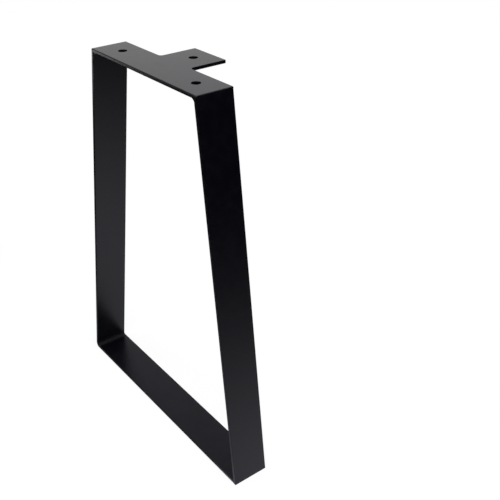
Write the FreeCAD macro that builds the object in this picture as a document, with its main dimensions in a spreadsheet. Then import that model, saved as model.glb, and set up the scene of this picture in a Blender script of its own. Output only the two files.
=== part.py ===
import FreeCAD, Part
import os

import Sketcher

os.makedirs("parts", exist_ok=True)

# Trestle table leg: a closed trapezoid loop of flat steel, wider at the floor than at the top,
# under a T-shaped fixing plate. Millimetres. X runs along the loop, +Y is the way the plate's
# tab points, +Z is up, and the origin is the middle of the foot's underside.

SIZES = {
    "height": (710.0, "floor to the plate's top face"),
    "strip_width": (70.0, "width of the flat steel, along Y"),
    "strip_thickness": (6.0, "thickness of the flat steel"),
    "plate_length": (315.0, "length of the top plate, along X"),
    "foot_length": (515.0, "length of the foot on the floor, along X"),
    "tab_width": (88.0, "width of the plate's tab, along X"),
    "tab_length": (72.0, "reach of the tab past the strip's far edge"),
    "tab_root_radius": (6.0, "inside corners where the tab leaves the strip"),
    "tab_corner_radius": (1.0, "outside corners of the tab"),
    "hole_radius": (8.0, "all three fixing holes"),
    "hole_spacing": (218.0, "between the two holes in the strip"),
    "tab_hole_reach": (37.0, "from the strip's far edge to the tab's hole"),
    "bend_radius": (3.5, "inside radius of the bend between the left post and the foot"),
    "end_radius": (2.0, "the plate's top edges at its two ends, ground round"),
    "arris_radius": (0.8, "soft edges of the flat steel under its coating"),
    "main_weld_leg": (7.0, "leg of the fillet weld under the plate's right end"),
    "main_weld_face": (10.0, "radius of that weld's hollow face"),
    "small_weld_leg": (4.5, "leg of the other two fillet welds"),
    "small_weld_face": (7.0, "radius of their hollow faces"),
    "weld_setback": (1.0, "from the strip's side edges to a weld's ends"),
}

TOLERANCE = 1e-4

document = FreeCAD.newDocument("trestle_table_leg")
sheet = document.addObject("Spreadsheet::Sheet", "sizes")
for row, (alias, (number, note)) in enumerate(SIZES.items(), start=1):
    sheet.set(f"A{row}", alias)
    sheet.set(f"B{row}", str(number))
    sheet.set(f"C{row}", note)
    sheet.setAlias(f"B{row}", alias)
document.recompute()

# Places that several pieces share, written once from the driving sizes.
HALF_WIDTH = "sizes.strip_width / 2"
HALF_PLATE = "sizes.plate_length / 2"
HALF_FOOT = "sizes.foot_length / 2"
UNDER_PLATE = "(sizes.height - sizes.strip_thickness)"
RUN = f"({HALF_FOOT} - {HALF_PLATE})"
LEAN = f"({RUN} / {UNDER_PLATE})"
POST_FOOTPRINT = f"(sizes.strip_thickness * sqrt(1 + {LEAN}^2))"
POST_FOOT_INSIDE = f"({HALF_FOOT} - {POST_FOOTPRINT})"
POST_TOP_INSIDE = f"({HALF_PLATE} - {POST_FOOTPRINT})"
FOOT_TOP_INSIDE = f"({POST_FOOT_INSIDE} - sizes.strip_thickness * {LEAN})"


def value(expression):
    """The number that an expression on the sheet gives."""
    return float(sheet.evalExpression(expression))


def new_body(label):
    """A body with its own label, standing at the shared origin."""
    body = document.addObject("PartDesign::Body", label)
    body.Label = label
    body.Placement = FreeCAD.Placement()
    return body


def new_sketch(body, name, plane_role):
    """A sketch on one of the body's own origin planes."""
    sketch = body.newObject("Sketcher::SketchObject", name)
    plane = [item for item in body.Origin.OriginFeatures if item.Role == plane_role][0]
    sketch.AttachmentSupport = [(plane, "")]
    sketch.MapMode = "FlatFace"
    return sketch


def dimension(sketch, kind, geometry, name, expression):
    """Add one named dimension, as large as it is drawn, and bind it to the sheet."""
    index = sketch.addConstraint(Sketcher.Constraint(kind, *geometry, value(expression)))
    sketch.renameConstraint(index, name)
    sketch.setExpression(f"Constraints.{name}", expression)


def pin_point(sketch, geometry, end, name, across, up):
    """Hold one point of a sketch at its distances from the origin."""
    for kind, expression, axis in (("DistanceX", across, -2), ("DistanceY", up, -1)):
        if abs(value(expression)) < TOLERANCE:
            sketch.addConstraint(Sketcher.Constraint("PointOnObject", geometry, end, axis))
        elif value(expression) > 0:
            dimension(sketch, kind, (-1, 1, geometry, end), f"{name}_{kind}", expression)
        else:
            dimension(sketch, kind, (geometry, end, -1, 1), f"{name}_{kind}", f"-({expression})")


def draw_outline(sketch, corners):
    """Draw straight lines round the named corners and pin each of them."""
    points = [FreeCAD.Vector(value(across), value(up), 0) for name, across, up in corners]
    count = len(points)
    lines = [
        sketch.addGeometry(Part.LineSegment(points[index], points[(index + 1) % count]))
        for index in range(count)
    ]
    for index in range(count):
        following = lines[(index + 1) % count]
        sketch.addConstraint(Sketcher.Constraint("Coincident", lines[index], 2, following, 1))
    for line, (name, across, up) in zip(lines, corners):
        pin_point(sketch, line, 1, name, across, up)


def pad_across(body, sketch, length):
    """Pad a side-view sketch by the same amount to both sides of the loop's middle plane."""
    pad = body.newObject("PartDesign::Pad", f"{sketch.Name}_pad")
    pad.Profile = sketch
    pad.SideType = "Symmetric"
    pad.setExpression("Length", length)
    document.recompute()
    return pad


def round_edges(body, base, name, radius, chosen):
    """Round the edges of a feature that the test picks."""
    picked = [f"Edge{i}" for i, edge in enumerate(base.Shape.Edges, start=1) if chosen(edge)]
    fillet = body.newObject("PartDesign::Fillet", name)
    fillet.Base = (base, picked)
    fillet.setExpression("Radius", radius)
    document.recompute()
    return fillet


def is_at(edge, **place):
    """Whether every end of an edge has the coordinates given."""
    return all(
        abs(getattr(vertex.Point, axis) - where) < TOLERANCE
        for vertex in edge.Vertexes
        for axis, where in place.items()
    )


def on_side(edge):
    """Whether an edge lies in one of the strip's two side faces."""
    return is_at(edge, y=value(HALF_WIDTH)) or is_at(edge, y=-value(HALF_WIDTH))


def make_top_plate():
    """The T-shaped plate: a strip over the posts, a tab on its far edge and three holes."""
    body = new_body("top_plate")
    body.setExpression("Placement.Base.z", UNDER_PLATE)
    tab_end = f"{HALF_WIDTH} + sizes.tab_length"
    half_tab = "sizes.tab_width / 2"

    outline = new_sketch(body, "plate_outline", "XY_Plane")
    draw_outline(outline, [
        ("near_left", f"-{HALF_PLATE}", f"-{HALF_WIDTH}"),
        ("near_right", HALF_PLATE, f"-{HALF_WIDTH}"),
        ("far_right", HALF_PLATE, HALF_WIDTH),
        ("root_right", half_tab, HALF_WIDTH),
        ("tab_right", half_tab, tab_end),
        ("tab_left", f"-{half_tab}", tab_end),
        ("root_left", f"-{half_tab}", HALF_WIDTH),
        ("far_left", f"-{HALF_PLATE}", HALF_WIDTH),
    ])
    plate = body.newObject("PartDesign::Pad", "plate")
    plate.Profile = outline
    plate.setExpression("Length", "sizes.strip_thickness")
    document.recompute()

    # Edges are picked in the body's own frame, where the plate's underside is at zero.
    top = value("sizes.strip_thickness")
    end = value(HALF_PLATE)
    half_width = value(HALF_WIDTH)
    round_start = end - value("sizes.end_radius") - TOLERANCE

    def at_tab_side(edge):
        return is_at(edge, x=value(half_tab)) or is_at(edge, x=-value(half_tab))

    def at_strip_end(edge):
        return is_at(edge, x=end) or is_at(edge, x=-end)

    roots = round_edges(body, plate, "tab_roots", "sizes.tab_root_radius",
                        lambda edge: at_tab_side(edge) and is_at(edge, y=half_width))
    corners = round_edges(body, roots, "tab_corners", "sizes.tab_corner_radius",
                          lambda edge: at_tab_side(edge) and is_at(edge, y=value(tab_end)))
    ends = round_edges(body, corners, "ground_ends", "sizes.end_radius",
                       lambda edge: at_strip_end(edge) and is_at(edge, z=top))

    def crosses_strip(edge):
        ends = sorted(vertex.Y for vertex in edge.Vertexes)
        return abs(ends[0] + half_width) < TOLERANCE and abs(ends[-1] - half_width) < TOLERANCE

    def is_outline(edge):
        flat = is_at(edge, z=top) or is_at(edge, z=0)
        at_end = on_side(edge) and all(abs(vertex.X) > round_start for vertex in edge.Vertexes)
        return (flat or at_end) and not crosses_strip(edge)

    softened = round_edges(body, ends, "arrises", "sizes.arris_radius", is_outline)

    hole_sketch = new_sketch(body, "fixing_holes", "XY_Plane")
    half_spacing = "sizes.hole_spacing / 2"
    tab_hole = f"{HALF_WIDTH} + sizes.tab_hole_reach"
    for name, across, up in (
        ("left_hole", f"-{half_spacing}", "0"),
        ("right_hole", half_spacing, "0"),
        ("tab_hole", "0", tab_hole),
    ):
        centre = FreeCAD.Vector(value(across), value(up), 0)
        circle = hole_sketch.addGeometry(
            Part.Circle(centre, FreeCAD.Vector(0, 0, 1), value("sizes.hole_radius"))
        )
        pin_point(hole_sketch, circle, 3, name, across, up)
        dimension(hole_sketch, "Radius", (circle,), f"{name}_radius", "sizes.hole_radius")
    holes = body.newObject("PartDesign::Pocket", "holes")
    holes.Profile = hole_sketch
    holes.Type = "ThroughAll"
    holes.Reversed = True
    document.recompute()
    if holes.Shape.Volume >= softened.Shape.Volume:
        raise RuntimeError("the fixing holes cut nothing")
    return body


def make_left_post_and_foot():
    """The left post and the foot: one strip, bent once at the floor."""
    body = new_body("left_post_and_foot")
    outline = new_sketch(body, "bent_strip", "XZ_Plane")
    draw_outline(outline, [
        ("top_outside", f"-{HALF_PLATE}", UNDER_PLATE),
        ("bend_outside", f"-{HALF_FOOT}", "0"),
        ("end_under", POST_FOOT_INSIDE, "0"),
        ("end_over", FOOT_TOP_INSIDE, "sizes.strip_thickness"),
        ("bend_inside", f"-{FOOT_TOP_INSIDE}", "sizes.strip_thickness"),
        ("top_inside", f"-{POST_TOP_INSIDE}", UNDER_PLATE),
    ])
    strip = pad_across(body, outline, "sizes.strip_width")
    inner = round_edges(body, strip, "bend_inside_radius", "sizes.bend_radius",
                        lambda edge: is_at(edge, x=-value(FOOT_TOP_INSIDE)))
    outer = round_edges(body, inner, "bend_outside_radius", "sizes.bend_radius + sizes.strip_thickness",
                        lambda edge: is_at(edge, x=-value(HALF_FOOT)))
    top = value(UNDER_PLATE)
    reach = value(FOOT_TOP_INSIDE)

    def is_long(edge):
        at_end = is_at(edge, z=top) or all(vertex.X > reach - TOLERANCE for vertex in edge.Vertexes)
        return on_side(edge) and not at_end

    round_edges(body, outer, "bent_strip_arrises", "sizes.arris_radius", is_long)
    return body


def make_right_post():
    """The right post: a straight strip from the floor up to the plate's underside."""
    body = new_body("right_post")
    outline = new_sketch(body, "straight_strip", "XZ_Plane")
    draw_outline(outline, [
        ("floor_inside", POST_FOOT_INSIDE, "0"),
        ("floor_outside", HALF_FOOT, "0"),
        ("top_outside", HALF_PLATE, UNDER_PLATE),
        ("top_inside", POST_TOP_INSIDE, UNDER_PLATE),
    ])
    strip = pad_across(body, outline, "sizes.strip_width")
    top = value(UNDER_PLATE)

    def is_arris(edge):
        outer_toe = is_at(edge, x=value(HALF_FOOT), z=0)
        return outer_toe or (on_side(edge) and not is_at(edge, z=top))

    round_edges(body, strip, "straight_strip_arrises", "sizes.arris_radius", is_arris)
    return body


def make_weld(label, corner, flat_way, post_way, leg, face_radius):
    """A fillet weld with a hollow face, in the corner between a flat strip and a post.

    flat_way is -1 or +1, the way along X that the flat leg runs. post_way is -1 or +1, the way
    along Z that the other leg runs, and the lean carries that leg sideways.
    """
    body = new_body(label)
    sketch = new_sketch(body, f"{label}_section", "XZ_Plane")
    across, up = corner
    leg_run = f"{leg} * {LEAN} / sqrt(1 + {LEAN}^2)"
    leg_rise = f"{leg} / sqrt(1 + {LEAN}^2)"
    outward = "+" if (value(across) > 0) == (post_way < 0) else "-"
    rising = "+" if post_way > 0 else "-"
    flat_sign = "+" if flat_way > 0 else "-"
    root = (across, up)
    flat_toe = (f"{across} {flat_sign} {leg}", up)
    post_toe = (f"{across} {outward} {leg_run}", f"{up} {rising} {leg_rise}")
    start, toe, tip = [FreeCAD.Vector(value(a), value(b), 0) for a, b in (root, flat_toe, post_toe)]

    chord = tip - toe
    middle = (toe + tip) * 0.5
    away = middle - start
    away.normalize()
    radius = value(face_radius)
    depth = (radius ** 2 - (chord.Length / 2) ** 2) ** 0.5
    hollow_middle = middle + away * (depth - radius)
    first = sketch.addGeometry(Part.LineSegment(start, toe))
    second = sketch.addGeometry(Part.LineSegment(tip, start))
    face = sketch.addGeometry(Part.Arc(toe, hollow_middle, tip))
    ends = (1, 2) if (sketch.getPoint(face, 1) - toe).Length < TOLERANCE else (2, 1)
    sketch.addConstraint(Sketcher.Constraint("Coincident", first, 2, face, ends[0]))
    sketch.addConstraint(Sketcher.Constraint("Coincident", face, ends[1], second, 1))
    sketch.addConstraint(Sketcher.Constraint("Coincident", second, 2, first, 1))
    pin_point(sketch, first, 1, "root", *root)
    pin_point(sketch, first, 2, "flat_toe", *flat_toe)
    pin_point(sketch, second, 1, "post_toe", *post_toe)
    dimension(sketch, "Radius", (face,), "face_radius", face_radius)
    pad_across(body, sketch, "sizes.strip_width - 2 * sizes.weld_setback")
    return body


bodies = [
    make_top_plate(),
    make_left_post_and_foot(),
    make_right_post(),
    make_weld("weld_plate_left", (f"-{POST_TOP_INSIDE}", UNDER_PLATE), 1, -1,
              "sizes.small_weld_leg", "sizes.small_weld_face"),
    make_weld("weld_plate_right", (POST_TOP_INSIDE, UNDER_PLATE), -1, -1,
              "sizes.main_weld_leg", "sizes.main_weld_face"),
    make_weld("weld_foot_right", (FOOT_TOP_INSIDE, "sizes.strip_thickness"), -1, 1,
              "sizes.small_weld_leg", "sizes.small_weld_face"),
]
document.recompute()

for item in document.Objects:
    if "Invalid" in item.State or "Error" in item.State:
        raise RuntimeError(f"{item.Name} did not build: {item.State}")
for body in bodies:
    if body.Shape.isNull() or not body.Shape.isValid():
        raise RuntimeError(f"{body.Label} is not a valid solid")
    body.Shape.exportStep(f"parts/{body.Label}.step")
    box = body.Shape.BoundBox
    print(f"{body.Label}: {len(body.Shape.Solids)} solid, {body.Shape.Volume:.0f} mm3, "
          f"x {box.XMin:.2f} to {box.XMax:.2f}, y {box.YMin:.2f} to {box.YMax:.2f}, "
          f"z {box.ZMin:.2f} to {box.ZMax:.2f}")
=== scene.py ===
"""Trestle table leg: a closed loop of flat steel under a T-shaped fixing plate.

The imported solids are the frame, and a finished piece in satin black coat stands for each of them.
One node rule sweeps the two strips and another lays the weld beads, with the ripples that the
torch leaves. The plate is cut as a mesh, with soft edges and three holes. Lengths are in metres:
+X runs along the loop, +Y is the way the plate's tab points, +Z is up.
"""

import sys

import logging
import math
from dataclasses import dataclass
from enum import Enum

import bmesh
import bpy
from bmesh.types import BMEdge, BMesh, BMVert
from bpy.types import ID, Material, Node, NodeSocket, NodeTree, Object
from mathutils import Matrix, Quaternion, Vector


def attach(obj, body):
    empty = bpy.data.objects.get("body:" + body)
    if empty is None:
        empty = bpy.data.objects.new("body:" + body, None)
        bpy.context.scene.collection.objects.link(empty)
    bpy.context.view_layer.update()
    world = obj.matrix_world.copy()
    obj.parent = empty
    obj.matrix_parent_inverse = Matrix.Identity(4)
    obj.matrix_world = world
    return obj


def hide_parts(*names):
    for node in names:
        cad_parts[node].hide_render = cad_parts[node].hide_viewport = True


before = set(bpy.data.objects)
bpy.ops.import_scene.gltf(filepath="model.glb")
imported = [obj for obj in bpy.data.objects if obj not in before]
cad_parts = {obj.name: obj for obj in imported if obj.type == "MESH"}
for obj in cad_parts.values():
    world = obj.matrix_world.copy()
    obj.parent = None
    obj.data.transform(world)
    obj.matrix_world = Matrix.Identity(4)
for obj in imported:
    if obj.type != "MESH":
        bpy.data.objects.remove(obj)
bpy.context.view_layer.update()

log = logging.getLogger("table_leg")

BODY = "root"
MM = 0.001
ALONG, ACROSS, UP = (1.0, 0.0, 0.0), (0.0, 1.0, 0.0), (0.0, 0.0, 1.0)

# Times a vector, this leaves its part in the loop's own plane.
IN_THE_LOOP = (1.0, 0.0, 1.0)

# Off the strips' width, so that no rounding carries them past the solids' sides.
ROUNDING = 0.004 * MM

# Lengths this near count as one, and mesh points this near are joined.
SAME_LENGTH = 0.01 * MM
SAME_POINT = 0.002 * MM

# A toe's height below the floor, for a strip with no soft toe.
NO_TOE = -1.0

VECTOR_MATH = "ShaderNodeVectorMath"

# The sockets of a node that mixes two colours, and the middle of what a noise node gives.
MIX_SHARE, MIX_FIRST, MIX_SECOND = 0, 6, 7
NOISE_MIDDLE = 0.5

# What a node's socket takes is a plain value or a signal.
Given = object
Settings = dict[str, object] | None
Inputs = dict[object, Given] | None
Colour = tuple[float, float, float]
Edges = list[BMEdge]

# Where a change starts and ends, and where something starts, is full, is last full and ends.
Span = tuple[float, float]
Band = tuple[float, float, float, float]


class Sight(Enum):
    """The kinds of ray that a backdrop may answer to, by the name of their socket."""

    CAMERA = "Is Camera Ray"
    GLOSSY = "Is Glossy Ray"
    TRANSMISSION = "Is Transmission Ray"


class Slot(Enum):
    """The record's material slots."""

    COAT = "powder_coat"
    WELD = "coated_weld"


class Socket(Enum):
    """The kinds of input that a mesh rule has."""

    GEOMETRY = "NodeSocketGeometry"
    MATERIAL = "NodeSocketMaterial"
    NUMBER = "NodeSocketFloat"
    VECTOR = "NodeSocketVector"


class Stored(Enum):
    """The kinds of value that a mesh rule stores on points."""

    NUMBER = "FLOAT"
    VECTOR = "FLOAT_VECTOR"


# Node trees


class Signal:
    """One output of a node, with the arithmetic that the rules and finishes are written in."""

    def __init__(self, bench: "Bench", socket: NodeSocket) -> None:
        """Keep the output and the tree that it belongs to."""
        self.bench = bench
        self.socket = socket

    def _combine(self, operation: str, first: Given, second: Given) -> "Signal":
        """Join two operands in a Math node, or in a Vector Math node if one is a vector.

        Args:
            operation: the node's operation.
            first: the left operand.
            second: the right operand.

        Returns:
            The result as a new signal.
        """
        kind = VECTOR_MATH if is_vector(first) or is_vector(second) else "ShaderNodeMath"
        return self.bench.add(kind, {"operation": operation}, {0: first, 1: second})

    def __add__(self, other: Given) -> "Signal":
        """Add."""
        return self._combine("ADD", self, other)

    __radd__ = __add__

    def __sub__(self, other: Given) -> "Signal":
        """Subtract."""
        return self._combine("SUBTRACT", self, other)

    def __rsub__(self, other: Given) -> "Signal":
        """Subtract from a plain value."""
        return self._combine("SUBTRACT", other, self)

    def __mul__(self, other: Given) -> "Signal":
        """Multiply; a vector is scaled by a number.

        Args:
            other: the right operand.

        Returns:
            The product.
        """
        if is_vector(self) and not is_vector(other):
            given = {0: self, "Scale": other}
            return self.bench.add(VECTOR_MATH, {"operation": "SCALE"}, given)
        return self._combine("MULTIPLY", self, other)

    __rmul__ = __mul__

    def __truediv__(self, other: Given) -> "Signal":
        """Divide."""
        return self._combine("DIVIDE", self, other)

    def __rtruediv__(self, other: Given) -> "Signal":
        """Divide a plain value by this."""
        return self._combine("DIVIDE", other, self)

    def __pow__(self, other: Given) -> "Signal":
        """Raise to a power."""
        return self._combine("POWER", self, other)

    def does(self, operation: str, *others: Given) -> "Signal":
        """Apply any other Math operation to this and to more operands."""
        given = dict(enumerate((self, *others)))
        return self.bench.add("ShaderNodeMath", {"operation": operation}, given)

    def dot(self, other: Given) -> "Signal":
        """The dot product with another vector."""
        given = {0: self, 1: other}
        return self.bench.add(VECTOR_MATH, {"operation": "DOT_PRODUCT"}, given, "Value")

    def length(self) -> "Signal":
        """The length of a vector."""
        return self.bench.add(VECTOR_MATH, {"operation": "LENGTH"}, {0: self}, "Value")

    def eased(self, start: float, end: float, low: float = 0.0, high: float = 1.0) -> "Signal":
        """Map start..end to low..high with a soft start and end, and hold the ends.

        Args:
            start: where low is reached.
            end: where high is reached.
            low: the value up to start.
            high: the value past end.

        Returns:
            The mapped signal.
        """
        return self.bench.add(
            "ShaderNodeMapRange",
            {"interpolation_type": "SMOOTHSTEP"},
            {"Value": self, "From Min": start, "From Max": end, "To Min": low, "To Max": high},
        )


def is_vector(given: Given) -> bool:
    """Tell whether something has three parts, so that it goes through Vector Math.

    Args:
        given: a value or a signal.

    Returns:
        Whether it has.
    """
    if isinstance(given, Signal):
        return given.socket.type in {"VECTOR", "RGBA"}
    return isinstance(given, (tuple, Vector))


class Bench:
    """A node tree in the making, for a finish, the studio's world or a mesh rule."""

    def __init__(self, tree: NodeTree) -> None:
        """Empty the tree and keep it."""
        self.tree = tree
        tree.nodes.clear()

    def place(self, kind: str, settings: Settings = None, inputs: Inputs = None) -> Node:
        """Add one node, give it its settings first and then its sockets.

        Args:
            kind: the node's type.
            settings: its own options, such as an operation.
            inputs: the value or signal of each socket, by name or index.

        Returns:
            The node.
        """
        node = self.tree.nodes.new(kind)
        for name, choice in (settings or {}).items():
            setattr(node, name, choice)
        for key, given in (inputs or {}).items():
            socket = node.inputs[key]
            if isinstance(given, Signal):
                self.tree.links.new(given.socket, socket)
            else:
                socket.default_value = given
        return node

    def add(
        self, kind: str, settings: Settings = None, inputs: Inputs = None, output: str | None = None
    ) -> Signal:
        """Add one node as place does, and give back one of its outputs.

        Args:
            kind: the node's type.
            settings: its own options.
            inputs: the value or signal of each socket.
            output: the output's name, or None for the first that is in use.

        Returns:
            The output as a signal.
        """
        node = self.place(kind, settings, inputs)
        if output is not None:
            return Signal(self, node.outputs[output])
        return Signal(self, next(found for found in node.outputs if found.enabled))

    def sight(self, *kinds: Sight) -> Signal:
        """Tell rays apart.

        Args:
            kinds: the kinds of ray.

        Returns:
            One for those rays, and nought for all others.
        """
        path = self.tree.nodes.new("ShaderNodeLightPath")
        total, *others = (Signal(self, path.outputs[kind.value]) for kind in kinds)
        for more in others:
            total = total.does("MAXIMUM", more)
        return total


# Finishes


def new_material(name: str) -> tuple[Material, Bench]:
    """Start a material.

    Args:
        name: the material's name.

    Returns:
        The material, and its node tree, which is empty.
    """
    made = bpy.data.materials.new(name)
    made.use_nodes = True
    return made, Bench(made.node_tree)


@dataclass(frozen=True)
class BlackCoat:
    """Satin black powder coat: the dark resin, its flow-out, its fine grain and a dry bend."""

    name: str
    colour: Colour = (0.0015, 0.0014, 0.0034)
    clouded: Colour = (0.0027, 0.0025, 0.0050)
    refraction: float = 1.5
    roughness: float = 0.30
    roughness_play: float = 0.05
    cloud_size: float = 14 * MM
    cloud_detail: float = 3.0
    cloud_edges: Span = (0.35, 0.70)
    peel_size: float = 2.4 * MM
    peel_detail: float = 1.0
    peel_height: float = 0.014 * MM
    grain_size: float = 0.42 * MM
    grain_detail: float = 2.0
    grain_height: float = 0.018 * MM
    bend: Vector | None = None
    bend_reach: Span = (3 * MM, 13 * MM)
    bend_dryness: float = 0.55

    def material(self) -> Material:
        """Build the finish from noise in the piece's own space.

        Returns:
            The material.
        """
        made, bench = new_material(self.name)
        place = bench.add("ShaderNodeTexCoord", output="Object")
        cloud = self._noise(bench, place, self.cloud_size, self.cloud_detail)
        peel = self._noise(bench, place, self.peel_size, self.peel_detail)
        grain = self._noise(bench, place, self.grain_size, self.grain_detail)
        plain, clouded = ((*colour, 1.0) for colour in (self.colour, self.clouded))
        colour = bench.add(
            "ShaderNodeMix",
            {"data_type": "RGBA"},
            {MIX_SHARE: cloud.eased(*self.cloud_edges), MIX_FIRST: plain, MIX_SECOND: clouded},
        )
        roughness = self.roughness + (cloud - NOISE_MIDDLE) * self.roughness_play
        roughness = roughness + (grain - NOISE_MIDDLE) * self.roughness_play
        if self.bend is not None:
            off = ((place - self.bend) * IN_THE_LOOP).length()
            roughness = roughness + off.eased(*self.bend_reach, self.bend_dryness, 0.0)
        relief = peel * (self.peel_height / MM) + grain * (self.grain_height / MM)
        normal = bench.add("ShaderNodeBump", inputs={"Height": relief, "Distance": MM})
        looks = {"Base Color": colour, "Roughness": roughness, "Normal": normal}
        coat = bench.add("ShaderNodeBsdfPrincipled", inputs={**looks, "IOR": self.refraction})
        bench.place("ShaderNodeOutputMaterial", inputs={"Surface": coat})
        return made

    @staticmethod
    def _noise(bench: Bench, place: Signal, size: float, detail: float) -> Signal:
        """Soft noise whose lumps are about the given size."""
        return bench.add(
            "ShaderNodeTexNoise", inputs={"Vector": place, "Scale": 1.0 / size, "Detail": detail}
        )


# Mesh rules


class MeshRule:
    """A geometry node tree with named inputs, run on a plain line to make a piece."""

    def __init__(self, name: str, numbers: tuple[str, ...], vectors: tuple[str, ...]) -> None:
        """Start the tree with its geometry in and out, its own inputs and a finish.

        Args:
            name: the tree's name.
            numbers: the names of the inputs that are numbers.
            vectors: the names of those that are vectors.
        """
        self.tree = bpy.data.node_groups.new(name, "GeometryNodeTree")
        self.bench = Bench(self.tree)
        kinds = {"Geometry": Socket.GEOMETRY, "Finish": Socket.MATERIAL}
        kinds |= dict.fromkeys(numbers, Socket.NUMBER) | dict.fromkeys(vectors, Socket.VECTOR)
        self.identifiers = {key: self._declare(key, kind, "INPUT") for key, kind in kinds.items()}
        self._declare("Geometry", Socket.GEOMETRY, "OUTPUT")
        source = self.tree.nodes.new("NodeGroupInput")
        self.given = {key: Signal(self.bench, source.outputs[key]) for key in kinds}

    def _declare(self, name: str, kind: Socket, side: str) -> str:
        """Give the tree an input or an output, and return its identifier."""
        made = self.tree.interface.new_socket(name, in_out=side, socket_type=kind.value)
        return made.identifier

    def store(self, geometry: Signal, name: str, value: Signal) -> Signal:
        """Store a number or a vector on a geometry's points.

        Args:
            geometry: the line or mesh.
            name: the name to store under.
            value: the value for each point.

        Returns:
            The geometry, which passes the value on to what is swept along it.
        """
        kind = Stored.VECTOR if is_vector(value) else Stored.NUMBER
        return self.bench.add(
            "GeometryNodeStoreNamedAttribute",
            {"data_type": kind.value, "domain": "POINT"},
            {"Geometry": geometry, "Name": name, "Value": value},
        )

    def read(self, name: str, kind: Stored) -> Signal:
        """The value that is stored on each point under a name."""
        return self.bench.add(
            "GeometryNodeInputNamedAttribute", {"data_type": kind.value}, {"Name": name}
        )

    def moved(self, mesh: Signal, offset: Signal) -> Signal:
        """Move each point of a mesh by an offset."""
        return self.bench.add("GeometryNodeSetPosition", inputs={"Geometry": mesh, "Offset": offset})

    def swept(self, line: Signal, section: Signal) -> Signal:
        """Sweep a section along a line and close the ends."""
        return self.bench.add(
            "GeometryNodeCurveToMesh",
            inputs={"Curve": line, "Profile Curve": section, "Fill Caps": True},
        )

    def close(self, mesh: Signal) -> None:
        """End the tree in Realize Instances and Set Material.

        Args:
            mesh: the finished shape.
        """
        real = self.bench.add("GeometryNodeRealizeInstances", inputs={"Geometry": mesh})
        dressed = self.bench.add(
            "GeometryNodeSetMaterial", inputs={"Geometry": real, "Material": self.given["Finish"]}
        )
        self.bench.place("NodeGroupOutput", inputs={"Geometry": dressed})

    def run(
        self, name: str, line: list[Vector], values: dict[str, object], **marks: list[Vector]
    ) -> Object:
        """Run the rule on a line and keep the result as a plain mesh.

        Args:
            name: the piece's name.
            line: the points that the piece follows.
            values: a value for each named input.
            marks: a vector for each point of the line, by the name that the rule reads.

        Returns:
            The piece, at the origin, with no modifier left.
        """
        mesh = bpy.data.meshes.new(name)
        steps = [(index, index + 1) for index in range(len(line) - 1)]
        mesh.from_pydata([tuple(point) for point in line], steps, [])
        for mark, vectors in marks.items():
            layer = mesh.attributes.new(mark, Stored.VECTOR.value, "POINT")
            for item, vector in zip(layer.data, vectors):
                item.vector = vector
        piece = new_piece(name, mesh)
        rule = piece.modifiers.new("rule", "NODES")
        rule.node_group = self.tree
        for key, value in values.items():
            rule[self.identifiers[key]] = value
        settle(piece)
        return piece


def new_piece(name: str, data: ID) -> Object:
    """Hang a mesh, a lamp or a camera in the scene, at the origin.

    Args:
        name: the object's name.
        data: what it shows or does.

    Returns:
        The object.
    """
    piece = bpy.data.objects.new(name, data)
    bpy.context.scene.collection.objects.link(piece)
    return piece


def settle(piece: Object) -> None:
    """Turn a piece and its modifiers into a plain mesh, with normals that follow its large faces.

    Args:
        piece: the piece, which keeps its name and place.
    """
    normals = piece.modifiers.new("even_normals", "WEIGHTED_NORMAL")
    normals.keep_sharp = True
    depsgraph = bpy.context.evaluated_depsgraph_get()
    result = bpy.data.meshes.new_from_object(
        piece.evaluated_get(depsgraph), preserve_all_data_layers=True, depsgraph=depsgraph
    )
    piece.modifiers.clear()
    piece.data = result
    result.name = piece.name


def stand_for(piece: Object, node: str) -> None:
    """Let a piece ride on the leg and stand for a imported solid.

    Args:
        piece: the finished piece.
        node: the solid that it replaces.
    """
    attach(piece, BODY)
    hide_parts(node)
    log.info("%s: %d faces, for %s", piece.name, len(piece.data.polygons), node)


# The flat strips


@dataclass(frozen=True)
class Loop:
    """The closed loop's main sizes, and the places that its pieces share."""

    height: float = 710 * MM
    plate_length: float = 315 * MM
    foot_length: float = 515 * MM
    width: float = 70 * MM
    thickness: float = 6 * MM

    @property
    def under_plate(self) -> float:
        """Height of the plate's underside."""
        return self.height - self.thickness

    @property
    def lean(self) -> float:
        """How far a post runs outwards for each metre down."""
        return (self.foot_length - self.plate_length) / 2 / self.under_plate

    @property
    def post_top_inside(self) -> float:
        """X of a post's inner face under the plate."""
        return self.plate_length / 2 - self.thickness * math.hypot(1, self.lean)

    @property
    def foot_inside(self) -> float:
        """X of a post's inner face on the floor."""
        return self.foot_length / 2 - self.thickness * math.hypot(1, self.lean)

    @property
    def foot_top_inside(self) -> float:
        """X of a post's inner face at the foot's top."""
        return self.foot_inside - self.thickness * self.lean

    def post_middle(self, height: float) -> float:
        """X of the middle of a post's thickness at a height."""
        outside = self.plate_length / 2 + self.lean * (self.under_plate - height)
        return outside - self.thickness / 2 * math.hypot(1, self.lean)

    def up_the_post(self, side: int) -> Vector:
        """The way up a post, on the side of X that is given as -1 or 1."""
        return Vector((-side * self.lean, 0, 1)).normalized()


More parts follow.
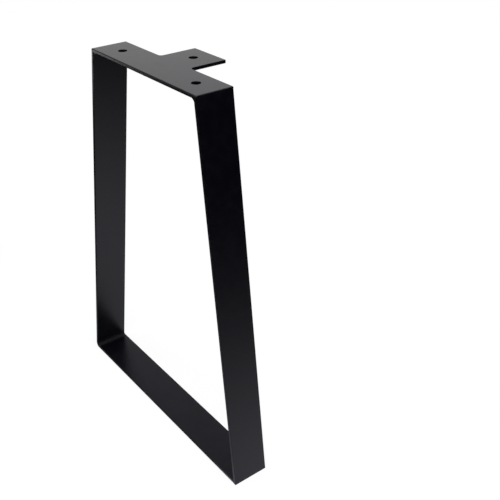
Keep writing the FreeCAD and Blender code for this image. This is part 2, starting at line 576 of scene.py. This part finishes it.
class StripRule(MeshRule):
    """Sweeps the flat steel's section along a line, bends it at the corners and trims its ends."""

    BEND_STEPS = 18
    ARRIS_STEPS = 5

    def __init__(self) -> None:
        """Build the tree."""
        numbers = ("Width", "Thickness", "ArrisRadius", "BendRadius", "ToeRadius", "ToeTop")
        super().__init__("flat_strip", numbers, ("ToeCentre",))
        bench, given = self.bench, self.given
        line = bench.add("GeometryNodeMeshToCurve", inputs={"Mesh": given["Geometry"]})
        line = self._rounded(line, self.BEND_STEPS, given["BendRadius"])
        line = bench.add("GeometryNodeSetCurveNormal", {"mode": "Z_UP"}, {"Curve": line})
        line = self.store(line, "way", bench.add("GeometryNodeInputTangent"))
        line = self.store(line, "spot", bench.add("GeometryNodeInputPosition"))
        section = bench.add(
            "GeometryNodeCurvePrimitiveQuadrilateral",
            {"mode": "RECTANGLE"},
            {"Width": given["Width"], "Height": given["Thickness"]},
        )
        section = self._rounded(section, self.ARRIS_STEPS, given["ArrisRadius"])
        self.close(self._toe(self._trimmed(self.swept(line, section))))

    def _rounded(self, line: Signal, steps: int, radius: Signal) -> Signal:
        """Round a line's corners to a radius, in that many steps."""
        return self.bench.add(
            "GeometryNodeFilletCurve",
            {"mode": "POLY"},
            {"Curve": line, "Count": steps, "Radius": radius, "Limit Radius": True},
        )

    def _trimmed(self, strip: Signal) -> Signal:
        """Slide each ring that is marked with a cut along the strip, on to the plane of the cut.

        Args:
            strip: the strip with square rings.

        Returns:
            The strip with its ends on their planes.
        """
        way, spot, cut = (self.read(name, Stored.VECTOR) for name in ("way", "spot", "cut"))
        here = self.bench.add("GeometryNodeInputPosition")
        slide = (spot - here).dot(cut) / way.dot(cut)
        return self.moved(strip, way * slide)

    def _toe(self, strip: Signal) -> Signal:
        """Draw the outer edge in to the toe's arc, below the height where the arc ends.

        Args:
            strip: the trimmed strip.

        Returns:
            The strip with a soft toe.
        """
        centre, radius = self.given["ToeCentre"], self.given["ToeRadius"]
        here = self.bench.add("GeometryNodeInputPosition")
        over = (here - centre).dot(UP)
        reach = (radius ** 2.0 - over * over).does("MAXIMUM", 0.0).does("SQRT")
        limit = centre.dot(ALONG) + reach
        pull = (limit - here.dot(ALONG)).does("MINIMUM", 0.0)
        low = here.dot(UP).does("LESS_THAN", self.given["ToeTop"])
        return self.moved(strip, self.bench.add("ShaderNodeCombineXYZ", inputs={0: pull * low}))


@dataclass(frozen=True)
class BentStrip:
    """The left post and the foot: one flat strip, bent once at the floor."""

    loop: Loop = Loop()
    bend_inside: float = 3.5 * MM
    arris: float = 0.8 * MM

    def build(self, rule: StripRule, finish: Material) -> None:
        """Sweep the strip from under the plate, round the bend and along the floor.

        Args:
            rule: the tree that makes a strip.
            finish: the coat on it.
        """
        loop = self.loop
        half = loop.thickness / 2
        end = (loop.foot_inside + loop.foot_top_inside) / 2
        line = [
            Vector((-loop.post_middle(loop.under_plate), 0, loop.under_plate)),
            Vector((-loop.post_middle(half), 0, half)),
            Vector((end, 0, half)),
        ]
        piece = rule.run(
            "bent_post_and_foot",
            line,
            {
                "Width": loop.width - ROUNDING,
                "Thickness": loop.thickness,
                "ArrisRadius": self.arris,
                "BendRadius": self.bend_inside + half,
                "ToeTop": NO_TOE,
                "Finish": finish,
            },
            cut=[Vector(UP), Vector(), Vector((1, 0, loop.lean))],
        )
        stand_for(piece, "left_post_and_foot")


@dataclass(frozen=True)
class StraightPost:
    """The right post: a straight strip from the floor to the plate, soft at its outer toe."""

    loop: Loop = Loop()
    arris: float = 0.8 * MM
    toe_steps: int = 8

    def build(self, rule: StripRule, finish: Material) -> None:
        """Sweep the post up from the floor.

        Args:
            rule: the tree that makes a strip.
            finish: the coat on it.
        """
        loop, radius = self.loop, self.arris
        lean = math.atan(loop.lean)
        toe_x = loop.foot_length / 2 - radius * (loop.lean + math.hypot(1, loop.lean))
        turns = [(math.pi / 2 + lean) * step / self.toe_steps for step in range(self.toe_steps + 1)]
        heights = [radius * (1 - math.cos(turn)) for turn in turns] + [loop.under_plate]
        piece = rule.run(
            "straight_post",
            [Vector((loop.post_middle(height), 0, height)) for height in heights],
            {
                "Width": loop.width - ROUNDING,
                "Thickness": loop.thickness,
                "ArrisRadius": radius,
                "BendRadius": 0.0,
                "ToeCentre": Vector((toe_x, 0, radius)),
                "ToeRadius": radius,
                "ToeTop": radius * (1 + math.sin(lean)),
                "Finish": finish,
            },
            cut=[Vector(UP)] * len(heights),
        )
        stand_for(piece, "right_post")


# The plate


@dataclass(frozen=True)
class FixingPlate:
    """The T-shaped plate: a strip over both posts, a tab on its far edge and three holes."""

    loop: Loop = Loop()
    tab_width: float = 88 * MM
    tab_length: float = 72 * MM
    root_radius: float = 6 * MM
    root_steps: int = 12
    end_radius: float = 2 * MM
    end_steps: int = 10
    arris: float = 1 * MM
    arris_steps: int = 5
    arris_turn: float = math.radians(60)
    hole_radius: float = 8 * MM
    hole_spacing: float = 218 * MM
    tab_hole_reach: float = 37 * MM
    hole_steps: int = 48
    rim: float = 0.35 * MM
    rim_steps: int = 4
    smooth_turn: float = math.radians(38)

    def build(self, finish: Material) -> None:
        """Cut the plate, soften its edges and open its holes.

        Args:
            finish: the coat on it.
        """
        shell = bmesh.new()
        self._blank(shell)
        self._soften_ends(shell)
        self._soften_arrises(shell)
        self._true_up(shell)
        self._open_holes(shell)
        bmesh.ops.remove_doubles(shell, verts=shell.verts, dist=SAME_POINT)
        bmesh.ops.recalc_face_normals(shell, faces=shell.faces)
        for edge in shell.edges:
            edge.smooth = edge.calc_face_angle(0.0) < self.smooth_turn
        for face in shell.faces:
            face.smooth = True
        mesh = bpy.data.meshes.new("fixing_plate")
        shell.to_mesh(mesh)
        shell.free()
        mesh.materials.append(finish)
        piece = new_piece("fixing_plate", mesh)
        settle(piece)
        stand_for(piece, "top_plate")

    def _blank(self, shell: BMesh) -> None:
        """Stand the T-shaped blank up to its full thickness.

        Args:
            shell: the empty mesh that the plate is made in.
        """
        loop = self.loop
        half_length, half_width = loop.plate_length / 2, loop.width / 2
        half_tab, tab_end = self.tab_width / 2, half_width + self.tab_length
        right = [
            (Vector((half_length, -half_width)), 0.0),
            (Vector((half_length, half_width)), 0.0),
            (Vector((half_tab, half_width)), self.root_radius),
            (Vector((half_tab, tab_end)), 0.0),
        ]
        left = [(Vector((-point.x, point.y)), radius) for point, radius in reversed(right)]
        plan = round_corners(right + left, self.root_steps)
        base = shell.faces.new([shell.verts.new((*point, loop.under_plate)) for point in plan])
        lifted = bmesh.ops.extrude_face_region(shell, geom=[base], use_keep_orig=True)
        raised = [item for item in lifted["geom"] if isinstance(item, BMVert)]
        bmesh.ops.translate(shell, verts=raised, vec=(0, 0, loop.thickness))
        bmesh.ops.recalc_face_normals(shell, faces=shell.faces)

    def _soften_ends(self, shell: BMesh) -> None:
        """Round the top edge at each end of the strip, as it is ground.

        Args:
            shell: the plate in the making.
        """
        end, top = self.loop.plate_length / 2, self.loop.height
        chosen = [
            edge for edge in shell.edges
            if all(near(abs(vertex.co.x), end) and near(vertex.co.z, top) for vertex in edge.verts)
        ]
        bevel(shell, chosen, self.end_radius, self.end_steps)

    def _soften_arrises(self, shell: BMesh) -> None:
        """Take the sharpness off every other outer edge but those that lie on the posts.

        Args:
            shell: the plate in the making.
        """
        chosen = [
            edge for edge in shell.edges
            if edge.calc_face_angle(0.0) > self.arris_turn
            and not near(abs(edge.verts[0].co.y - edge.verts[1].co.y), self.loop.width)
        ]
        bevel(shell, chosen, self.arris, self.arris_steps)

    def _true_up(self, shell: BMesh) -> None:
        """Bring back what the rounding pushed past the plate's sides by a hair.

        Args:
            shell: the plate in the making.
        """
        end, side = self.loop.plate_length / 2, self.loop.width / 2
        for vertex in shell.verts:
            vertex.co.x = min(max(vertex.co.x, -end), end)
            vertex.co.y = max(vertex.co.y, -side)

    def _open_holes(self, shell: BMesh) -> None:
        """Replace the two flat faces with faces that have the three holes in them.

        Args:
            shell: the plate in the making.
        """
        loop = self.loop
        flats = sorted(shell.faces, key=lambda face: face.calc_area())[-2:]
        borders = {round(face.calc_center_median().z / MM): list(face.edges) for face in flats}
        bmesh.ops.delete(shell, geom=flats, context="FACES_ONLY")
        far = loop.width / 2 + self.tab_hole_reach
        for x, y in ((-self.hole_spacing / 2, 0), (self.hole_spacing / 2, 0), (0, far)):
            lower, upper = self._bore(shell, Vector((x, y, 0)))
            borders[round(loop.under_plate / MM)] += lower
            borders[round(loop.height / MM)] += upper
        for edges in borders.values():
            bmesh.ops.triangle_fill(shell, use_beauty=True, edges=edges)

    def _bore(self, shell: BMesh, centre: Vector) -> tuple[Edges, Edges]:
        """Make one hole's wall, with soft rims.

        Args:
            shell: the plate in the making.
            centre: the hole's middle.

        Returns:
            The edges of its lower and upper mouths.
        """
        low, high, rim = self.loop.under_plate, self.loop.height, self.rim
        turns = [math.pi / 2 * step / self.rim_steps for step in range(self.rim_steps + 1)]
        flare = [(rim * (1 - math.sin(turn)), rim * (1 - math.cos(turn))) for turn in turns]
        section = [(self.hole_radius + out, low + up) for out, up in flare]
        section += [(self.hole_radius + out, high - up) for out, up in reversed(flare)]
        angles = [2 * math.pi * step / self.hole_steps for step in range(self.hole_steps)]
        ways = [Vector((math.cos(angle), math.sin(angle), 0)) for angle in angles]
        rings = [
            [shell.verts.new(centre + way * radius + Vector((0, 0, height))) for way in ways]
            for radius, height in section
        ]
        pairs = [(step, (step + 1) % self.hole_steps) for step in range(self.hole_steps)]
        for lower, upper in zip(rings, rings[1:]):
            for step, after in pairs:
                shell.faces.new((lower[step], lower[after], upper[after], upper[step]))
        return tuple(
            [shell.edges.get((ring[step], ring[after])) for step, after in pairs]
            for ring in (rings[0], rings[-1])
        )


def round_corners(corners: list[tuple[Vector, float]], steps: int) -> list[Vector]:
    """Round the corners of a plan.

    Args:
        corners: each corner with its radius, nought for one that stays sharp.
        steps: how many runs each round corner is made of.

    Returns:
        The plan's points.
    """
    plan = []
    for index, (corner, radius) in enumerate(corners):
        if not radius:
            plan.append(corner)
            continue
        back = (corners[index - 1][0] - corner).normalized()
        on = (corners[(index + 1) % len(corners)][0] - corner).normalized()
        centre = corner + (back + on) * radius
        for step in range(steps + 1):
            turn = math.pi / 2 * step / steps
            plan.append(centre - (on * math.cos(turn) + back * math.sin(turn)) * radius)
    return plan


def bevel(shell: BMesh, edges: Edges, radius: float, steps: int) -> None:
    """Round edges to a radius, in that many steps."""
    bmesh.ops.bevel(
        shell, geom=edges, offset=radius, offset_type="OFFSET", segments=steps, profile=0.5,
        affect="EDGES", clamp_overlap=False,
    )


def near(first: float, second: float) -> bool:
    """Whether two lengths are the same."""
    return abs(first - second) < SAME_LENGTH


# The welds


class BeadRule(MeshRule):
    """Lays a weld bead along a seam: a hollow-faced section with ripples and rounded ends."""

    FACE_POINTS = 15
    STEP = 0.22 * MM
    END_GIRTH = 0.55
    SWAY_SCALE = 160.0
    WANDER = 1.2
    WANDER_SCALE = 90.0
    WANDER_SEED = 7.0
    LEAST_SHARE = 1e-6

    def __init__(self) -> None:
        """Build the tree."""
        shape = ("FaceRadius", "EndTaper", "Unevenness", "Seed")
        ripples = ("RipplePitch", "RippleHeight", "RippleBow")
        super().__init__("weld_bead", shape + ripples, ("FirstToe", "SecondToe"))
        bench = self.bench
        seam = bench.add("GeometryNodeMeshToCurve", inputs={"Mesh": self.given["Geometry"]})
        seam = bench.add(
            "GeometryNodeResampleCurve", {"mode": "LENGTH"}, {"Curve": seam, "Length": self.STEP}
        )
        parameter = bench.place("GeometryNodeSplineParameter")
        along, share = (Signal(bench, parameter.outputs[name]) for name in ("Length", "Factor"))
        seam = self.store(seam, "along", along)
        section = self._section()
        girth = self._girth(along, share)
        seam = bench.add("GeometryNodeSetCurveRadius", inputs={"Curve": seam, "Radius": girth})
        self.close(self._rippled(self.swept(seam, section)))

    def _section(self) -> Signal:
        """Draw the bead's section: a hollow face from toe to toe, closed through the corner.

        Returns:
            The closed section. It stores the share of the way across its face, or -1 off it.
        """
        bench, given = self.bench, self.given
        ring = bench.add(
            "GeometryNodeCurvePrimitiveCircle",
            {"mode": "RADIUS"},
            {"Resolution": self.FACE_POINTS + 1, "Radius": 1.0},
        )
        index = bench.add("GeometryNodeInputIndex")
        share = index / float(self.FACE_POINTS - 1)
        first, second, radius = given["FirstToe"], given["SecondToe"], given["FaceRadius"]
        chord = second - first
        half = chord.length() * 0.5
        middle = (first + second) * 0.5
        inward = bench.add(VECTOR_MATH, {"operation": "NORMALIZE"}, {0: middle * -1.0})
        spread = (half / radius).does("ARCSINE")
        turn = spread * (share * 2.0 - 1.0)
        run = chord * (radius * turn.does("SINE") / (half * 2.0))
        sink = inward * (radius * (turn.does("COSINE") - spread.does("COSINE")))
        on_face = index.does("LESS_THAN", self.FACE_POINTS - 0.5)
        place = (middle + run + sink) * on_face
        ring = bench.add("GeometryNodeSetPosition", inputs={"Geometry": ring, "Position": place})
        return self.store(ring, "across", share * on_face - (1.0 - on_face))

    def _girth(self, along: Signal, share: Signal) -> Signal:
        """Size the bead along the seam: a little uneven, and drawn in at its two ends.

        Args:
            along: the length along the seam.
            share: the same as a share of the whole.

        Returns:
            What the section is scaled by.
        """
        total = along / share.does("MAXIMUM", self.LEAST_SHARE)
        nearest = along.does("MINIMUM", total - along)
        inside = (nearest / self.given["EndTaper"]).does("MINIMUM", 1.0)
        rounded = (1.0 - (1.0 - inside) ** 2.0).does("SQRT")
        sway = self._drift(along, self.given["Seed"], self.SWAY_SCALE)
        even = 1.0 - self.given["Unevenness"] * sway
        return even * (self.END_GIRTH + (1.0 - self.END_GIRTH) * rounded)

    def _drift(self, along: Signal, seed: Signal, scale: float) -> Signal:
        """Noise that changes slowly along the seam, and with the seed."""
        spot = self.bench.add("ShaderNodeCombineXYZ", inputs={0: along, 1: seed})
        return self.bench.add(
            "ShaderNodeTexNoise",
            {"noise_dimensions": "2D"},
            {"Vector": spot, "Scale": scale, "Detail": 1.0},
        )

    def _rippled(self, bead: Signal) -> Signal:
        """Raise the crescent ripples on the bead's face and leave its legs flat.

        Args:
            bead: the smooth bead.

        Returns:
            The rippled bead.
        """
        given = self.given
        along, across = (self.read(name, Stored.NUMBER) for name in ("along", "across"))
        centred = across * 2.0 - 1.0
        bowed = along + given["RippleBow"] * (1.0 - centred ** 2.0)
        wander = self._drift(along, given["Seed"] + self.WANDER_SEED, self.WANDER_SCALE)
        phase = bowed / given["RipplePitch"] + wander * self.WANDER
        tooth = phase.does("FRACT")
        crest = 1.0 - (tooth * 2.0 - 1.0) ** 2.0
        on_face = across.does("GREATER_THAN", -0.5)
        clear = (1.0 - (centred ** 2.0) ** 2.0).does("MAXIMUM", 0.0) * on_face
        lift = crest * clear * given["RippleHeight"]
        return self.moved(bead, self.bench.add("GeometryNodeInputNormal") * lift)


@dataclass(frozen=True)
class WeldSize:
    """How large a fillet weld is: its leg, and the radius of its hollow face."""

    leg: float
    face_radius: float


@dataclass(frozen=True)
class WeldBead:
    """One fillet weld in the inner corner between a flat strip and a post."""

    name: str
    corner: Vector
    flat_way: Vector
    post_way: Vector
    size: WeldSize
    seed: float
    loop: Loop = Loop()
    setback: float = 1.0 * MM
    taper_share: float = 0.6
    unevenness: float = 0.07
    ripple_pitch: float = 1.7 * MM
    ripple_height: float = 0.22 * MM
    bow_share: float = 0.9

    def build(self, rule: BeadRule, finish: Material) -> None:
        """Lay the bead along its seam.

        Args:
            rule: the tree that lays a bead.
            finish: the coat on it.
        """
        reach = Vector((0, self.loop.width / 2 - self.setback, 0))
        first, second = self._toes()
        piece = rule.run(
            f"{self.name}_bead",
            [self.corner - reach, self.corner + reach],
            {
                "FirstToe": first,
                "SecondToe": second,
                "FaceRadius": self.size.face_radius,
                "EndTaper": self.size.leg * self.taper_share,
                "Unevenness": self.unevenness,
                "RipplePitch": self.ripple_pitch,
                "RippleHeight": self.ripple_height,
                "RippleBow": self.ripple_pitch * self.bow_share,
                "Seed": self.seed,
                "Finish": finish,
            },
        )
        stand_for(piece, self.name)

    def _toes(self) -> tuple[Vector, Vector]:
        """Find the two toes in the sweep's own section.

        Returns:
            The toes, in the order that faces the bead outwards.
        """
        flat, post = (
            Vector((way.x, -way.z, 0.0)) * self.size.leg for way in (self.flat_way, self.post_way)
        )
        return (flat, post) if flat.cross(post).z > 0 else (post, flat)


# The studio


def aim(piece: Object, place: Vector, target: Vector, roll: float = 0.0) -> None:
    """Put a lamp or a camera in its place and turn it to a point.

    Args:
        piece: the lamp or camera.
        place: where it goes.
        target: the point.
        roll: how far it turns about its own line of sight.
    """
    piece.location = place
    piece.rotation_mode = "QUATERNION"
    level = (target - place).to_track_quat("-Z", "Y")
    piece.rotation_quaternion = level @ Quaternion(UP, roll)


@dataclass(frozen=True)
class Sweep:
    """The pale paper that the leg stands on: white to the camera, and to reflections a painted pool
    of light round the leg.
    """

    half_size: float = 30.0
    # A painted pool of light that only reflections see: its colour, middle, reach and falloff, and
    # the painted shade that dims it towards the front.
    pool_colour: Colour = (0.60, 0.592, 0.66)
    pool_middle: Vector = Vector((0.15, 0.08, 0.0))
    pool_reach: float = 1.32
    pool_fall: float = 4.0
    pool_front: Span = (-0.25, 0.02)
    pool_dim: float = 0.5
    # Painted shade in that pool just in front of the foot, where the leg's own shadow would fall.
    foot_across: Band = (-0.10, -0.05, 0.0, 0.03)
    foot_along: Band = (-0.33, -0.27, 0.16, 0.24)
    foot_shade: float = 0.75
    shade_colour: float = 0.26
    shade_base: float = 0.79
    shade_reach: Span = (0.32, 0.80)
    paper: Colour = (0.8, 0.8, 0.8)

    def material(self) -> Material:
        """White to the camera but for the leg's shadow; to its reflections a painted pool of light
        that fades outwards, with painted shade in front of the foot.

        Returns:
            The paper's material.
        """
        made, bench = new_material("paper_floor")
        spot = bench.add("ShaderNodeTexCoord", output="Object")
        seen = self._seen(bench, spot)
        # A painted pool of light that fades away from its middle, with painted shade towards the
        # front and just in front of the foot.
        spread = (spot - self.pool_middle).length() / self.pool_reach
        fade = 1.0 / (spread ** 2.0 + 1.0) ** self.pool_fall
        along, across = spot.dot(ALONG), spot.dot(ACROSS)
        fade = fade * across.eased(*self.pool_front, self.pool_dim, 1.0)
        at_foot = self._band(along, *self.foot_along) * self._band(across, *self.foot_across)
        fade = fade * (1.0 - at_foot * self.foot_shade)
        painted_glow_colour = self._grey(bench, fade) * self.pool_colour
        # The paper glows with the painted pool, though it is no lamp; only glossy and transmission
        # rays see it.
        painted_pool = bench.add("ShaderNodeEmission", inputs={"Color": painted_glow_colour})
        plain = bench.add("ShaderNodeBsdfDiffuse", inputs={"Color": (*self.paper, 1.0)})
        other = self._either(bench, bench.sight(Sight.GLOSSY, Sight.TRANSMISSION), plain, painted_pool)
        shown = self._either(bench, bench.sight(Sight.CAMERA), other, seen)
        behind = bench.add("ShaderNodeNewGeometry", output="Backfacing")
        from_below = behind * bench.sight(Sight.CAMERA)
        clear = bench.add("ShaderNodeBsdfTransparent")
        surface = self._either(bench, from_below, shown, clear)
        bench.place("ShaderNodeOutputMaterial", inputs={"Surface": surface})
        return made

    def _seen(self, bench: Bench, spot: Signal) -> Signal:
        """Shade what the camera sees: white paper that takes the leg's shadow near the leg.

        Args:
            bench: the paper's tree.
            spot: the place on the paper.

        Returns:
            The shader.
        """
        beside = spot.length().eased(*self.shade_reach, 1.0, 0.0)
        level = 1.0 - beside * (1.0 - self.shade_base)
        white = bench.add("ShaderNodeEmission", inputs={"Color": self._grey(bench, level)})
        taken = self._grey(bench, beside * self.shade_colour)
        shade = bench.add("ShaderNodeBsdfDiffuse", inputs={"Color": taken})
        return bench.add("ShaderNodeAddShader", inputs={0: white, 1: shade})

    @staticmethod
    def _band(place: Signal, start: float, full: float, last: float, end: float) -> Signal:
        """One from full to last, easing to nought at start and at end."""
        return place.eased(start, full) * place.eased(last, end, 1.0, 0.0)

    @staticmethod
    def _grey(bench: Bench, level: Signal) -> Signal:
        """A neutral colour of that level."""
        return bench.add("ShaderNodeCombineXYZ", inputs={0: level, 1: level, 2: level})

    @staticmethod
    def _either(bench: Bench, factor: Signal, first: Signal, second: Signal) -> Signal:
        """The first shader at nought, and the second at one."""
        return bench.add("ShaderNodeMixShader", inputs={0: factor, 1: first, 2: second})

    def build(self) -> None:
        """Lay the paper down."""
        size = self.half_size
        corners = [(-size, -size, 0), (size, -size, 0), (size, size, 0), (-size, size, 0)]
        mesh = bpy.data.meshes.new("floor")
        mesh.from_pydata(corners, [], [(0, 1, 2, 3)])
        mesh.materials.append(self.material())
        new_piece("floor", mesh)


@dataclass(frozen=True)
class Lamp:
    """A square soft lamp that is aimed at a point."""

    name: str
    place: Vector
    target: Vector
    size: float
    power: float

    def build(self) -> None:
        """Hang the lamp."""
        data = bpy.data.lights.new(self.name, "AREA")
        data.shape = "SQUARE"
        data.size = self.size
        data.energy = self.power
        lamp = new_piece(self.name, data)
        lamp.visible_camera = False
        aim(lamp, self.place, self.target)


@dataclass(frozen=True)
class View:
    """The camera, where the photograph was taken from."""

    place: Vector
    target: Vector
    roll: float
    lens: float
    sensor: float = 36.0
    shift: tuple[float, float] = (0.1, -0.04)
    nearest: float = 0.05

    def build(self) -> None:
        """Set the camera up."""
        data = bpy.data.cameras.new("camera")
        data.lens = self.lens
        data.sensor_width = self.sensor
        data.shift_x, data.shift_y = self.shift
        data.clip_start = self.nearest
        camera = new_piece("camera", data)
        aim(camera, self.place, self.target, self.roll)
        bpy.context.scene.camera = camera


@dataclass(frozen=True)
class Surround:
    """The air round the leg: white to the camera, and to the coat a lit backdrop in a dim room."""

    backdrop: float = 0.86
    backdrop_way: Vector = Vector((-0.707, 0.707, 0.0))
    side: Span = (0.30, 0.72)
    rise: Span = (0.14, 0.80)
    room: float = 0.16
    dark_way: Vector = Vector((0.852, 0.523, 0.0))
    dark: Span = (0.05, 0.75)
    fill: float = 0.25
    white: Vector = Vector((1.0, 1.0, 1.0))
    ceiling: Vector = Vector((1.0, 0.98, 1.13))
    ceiling_rise: Span = (0.36, 0.60)

    def build(self) -> None:
        """Make the world."""
        world = bpy.data.worlds.new("studio")
        world.use_nodes = True
        bpy.context.scene.world = world
        bench = Bench(world.node_tree)
        toward = bench.add("ShaderNodeTexCoord", output="Generated")
        height = toward.dot(UP)
        low = height.eased(*self.rise, 1.0, 0.0)
        beside = toward.dot(self.backdrop_way).eased(*self.side)
        room = toward.dot(self.dark_way).eased(*self.dark, self.room, 0.0)
        gloss = low * beside * self.backdrop + room
        mirrored = bench.sight(Sight.GLOSSY, Sight.TRANSMISSION)
        strength = mirrored * (gloss - self.fill) + self.fill
        camera = bench.sight(Sight.CAMERA)
        strength = camera * (1.0 - strength) + strength
        above = height.eased(*self.ceiling_rise) * (1.0 - camera)
        colour = above * (self.ceiling - self.white) + self.white
        shine = bench.add("ShaderNodeBackground", inputs={"Color": colour, "Strength": strength})
        bench.place("ShaderNodeOutputWorld", inputs={"Surface": shine})


class Studio:
    """The floor, the lamps, the surround and the camera."""

    FLOOR = Sweep()
    SURROUND = Surround()
    LAMPS = (
        Lamp("key_softbox", Vector((0.45, -0.45, 2.3)), Vector((0, 0, 0.3)), size=3.0, power=62.0),
        Lamp("side_softbox", Vector((-1.6, -0.5, 0.42)), Vector((0, 0, 0.6)), size=0.5, power=2.2),
    )
    VIEW = View(
        place=Vector((1.04203, -0.65542, 1.09419)),
        target=Vector((0.02036, 0.06432, 0.39127)),
        roll=math.radians(-1.153),
        lens=55.894,
    )

    def build(self) -> None:
        """Set everything up and choose the plain view transform."""
        bpy.context.scene.view_settings.view_transform = "Standard"
        self.FLOOR.build()
        self.SURROUND.build()
        for lamp in self.LAMPS:
            lamp.build()
        self.VIEW.build()
        log.info("studio: floor, surround, %d lamps and the camera", len(self.LAMPS))


# The whole leg


class TableLeg:
    """The whole leg: its plate, its two strips and its three weld beads."""

    MAIN_WELD = WeldSize(leg=7 * MM, face_radius=10 * MM)
    SMALL_WELD = WeldSize(leg=4.5 * MM, face_radius=7 * MM)

    def __init__(self, loop: Loop) -> None:
        """Keep the loop's sizes and mix the coats.

        Args:
            loop: the main sizes.
        """
        self.loop = loop
        self.coat = BlackCoat("satin_black_coat").material()
        self.bent_coat = BlackCoat(
            "satin_black_coat_on_bend", bend=Vector((-loop.foot_top_inside, 0, loop.thickness))
        ).material()
        self.weld_coat = BlackCoat(
            "satin_black_coat_on_weld", peel_size=1.6 * MM, peel_height=0.02 * MM
        ).material()

    def beads(self) -> list[WeldBead]:
        """Place the three welds, each in its own corner.

        Returns:
            The welds.
        """
        loop = self.loop
        top, inside = loop.under_plate, loop.post_top_inside
        foot = Vector((loop.foot_top_inside, 0, loop.thickness))
        right, left = Vector(ALONG), -Vector(ALONG)
        up_left, up_right = loop.up_the_post(-1), loop.up_the_post(1)
        main, small = self.MAIN_WELD, self.SMALL_WELD
        places = (
            ("weld_plate_left", Vector((-inside, 0, top)), right, -up_left, small, 3.0),
            ("weld_plate_right", Vector((inside, 0, top)), left, -up_right, main, 11.0),
            ("weld_foot_right", foot, left, up_right, small, 19.0),
        )
        return [WeldBead(*place, loop) for place in places]

    def build(self) -> None:
        """Make the plate and the strips, and lay the welds."""
        strips, beads = StripRule(), BeadRule()
        FixingPlate(self.loop).build(self.coat)
        BentStrip(self.loop).build(strips, self.bent_coat)
        StraightPost(self.loop).build(strips, self.coat)
        for bead in self.beads():
            bead.build(beads, self.weld_coat)


def write_sizes() -> None:
    """Bring the scene's placements up to date."""
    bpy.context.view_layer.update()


def main() -> None:
    """Build the leg, then the studio round it."""
    logging.basicConfig(level=logging.INFO, format="%(message)s", stream=sys.stdout)
    TableLeg(Loop()).build()
    Studio().build()
    write_sizes()


if __name__ == "__main__":
    main()
